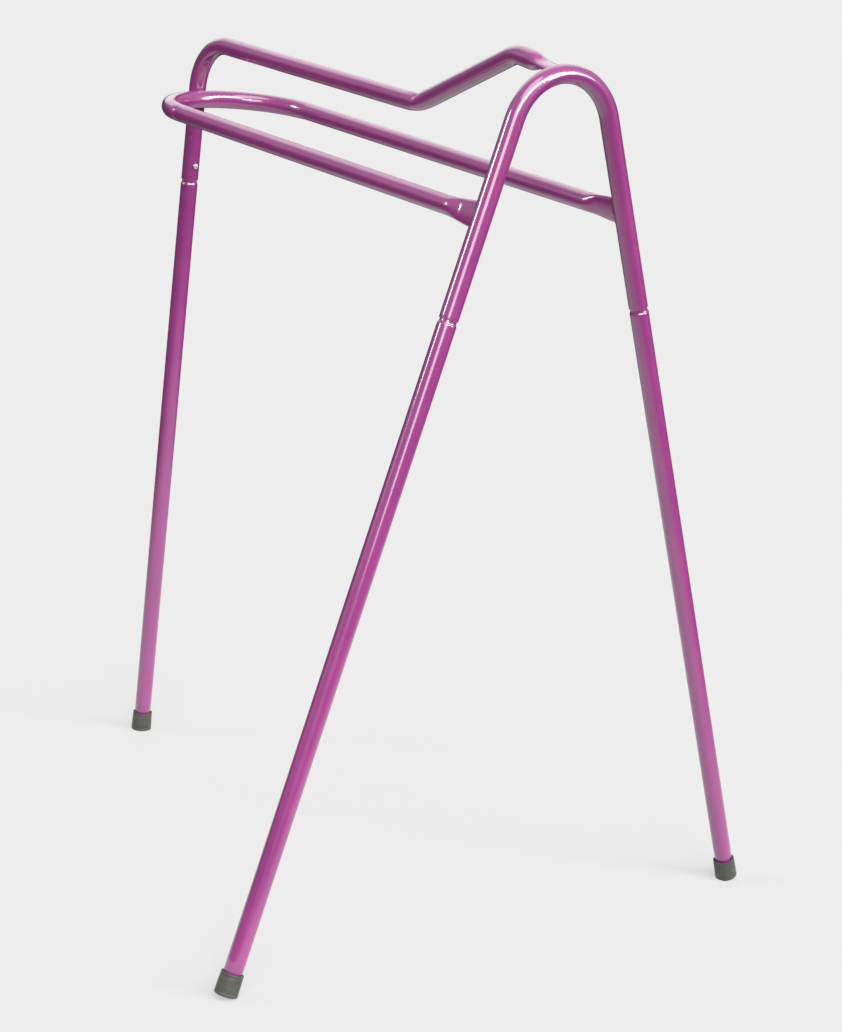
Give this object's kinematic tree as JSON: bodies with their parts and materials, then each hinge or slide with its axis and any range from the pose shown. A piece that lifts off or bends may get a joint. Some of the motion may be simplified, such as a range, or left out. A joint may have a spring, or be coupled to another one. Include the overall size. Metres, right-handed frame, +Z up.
{
  "type": "saddle rack",
  "caption": "Take-down saddle rack of bent steel tube: a front hoop, a dipped ridge and a U-shaped saddle rail on plug-in legs with rubber caps",
  "frame": {"origin": "on the floor, on the symmetry plane, halfway between the hoop plane and the rear foot", "axes": "+Z up, +X to the front hoop, +Y to the left of someone behind the rack who faces the hoop"},
  "size_m": [0.7165, 0.6742, 0.893],
  "materials": {
    "powder_coat": "gloss",
    "cap_rubber": "matt",
    "button_steel": "bright",
    "spring_steel": "satin"
  },
  "bodies": {
    "frame": {"front_hoop": "powder_coat", "ridge_tube": "powder_coat", "rail_loop": "powder_coat", "weld_rail_left": "powder_coat", "weld_rail_right": "powder_coat", "weld_ridge_front": "powder_coat", "weld_loop_rear": "powder_coat"},
    "leg_left": {"lower_leg_left": "powder_coat", "foot_cap_left": "cap_rubber", "snap_spring_left": "spring_steel"},
    "button_left": {"snap_button_left": "button_steel"},
    "leg_right": {"lower_leg_right": "powder_coat", "foot_cap_right": "cap_rubber", "snap_spring_right": "spring_steel"},
    "button_right": {"snap_button_right": "button_steel"},
    "leg_rear": {"lower_leg_rear": "powder_coat", "foot_cap_rear": "cap_rubber", "snap_spring_rear": "spring_steel"},
    "button_rear": {"snap_button_rear": "button_steel"}
  },
  "joints": [
    {"name": "leg_left_slide", "type": "slide", "parent": "frame", "child": "leg_left", "axis": [0, 0.3074, -0.9516], "range_m": [0, 0.1]},
    {"name": "leg_right_slide", "type": "slide", "parent": "frame", "child": "leg_right", "axis": [0, -0.3074, -0.9516], "range_m": [0, 0.1]},
    {"name": "leg_rear_slide", "type": "slide", "parent": "frame", "child": "leg_rear", "axis": [-0.0673, 0, -0.9977], "range_m": [0, 0.1]},
    {"name": "button_left_press", "type": "slide", "parent": "leg_left", "child": "button_left", "axis": [1, 0, 0], "range_m": [0, 0.0047], "stiffness_N_per_m": 1500, "springref_m": -0.002, "deforming": ["snap_spring_left", "snap_button_left"]},
    {"name": "button_right_press", "type": "slide", "parent": "leg_right", "child": "button_right", "axis": [1, 0, 0], "range_m": [0, 0.0047], "stiffness_N_per_m": 1500, "springref_m": -0.002, "deforming": ["snap_spring_right", "snap_button_right"]},
    {"name": "button_rear_press", "type": "slide", "parent": "leg_rear", "child": "button_rear", "axis": [-0.9977, 0, 0.0673], "range_m": [0, 0.0047], "stiffness_N_per_m": 1500, "springref_m": -0.002, "deforming": ["snap_spring_rear", "snap_button_rear"]}
  ]
}
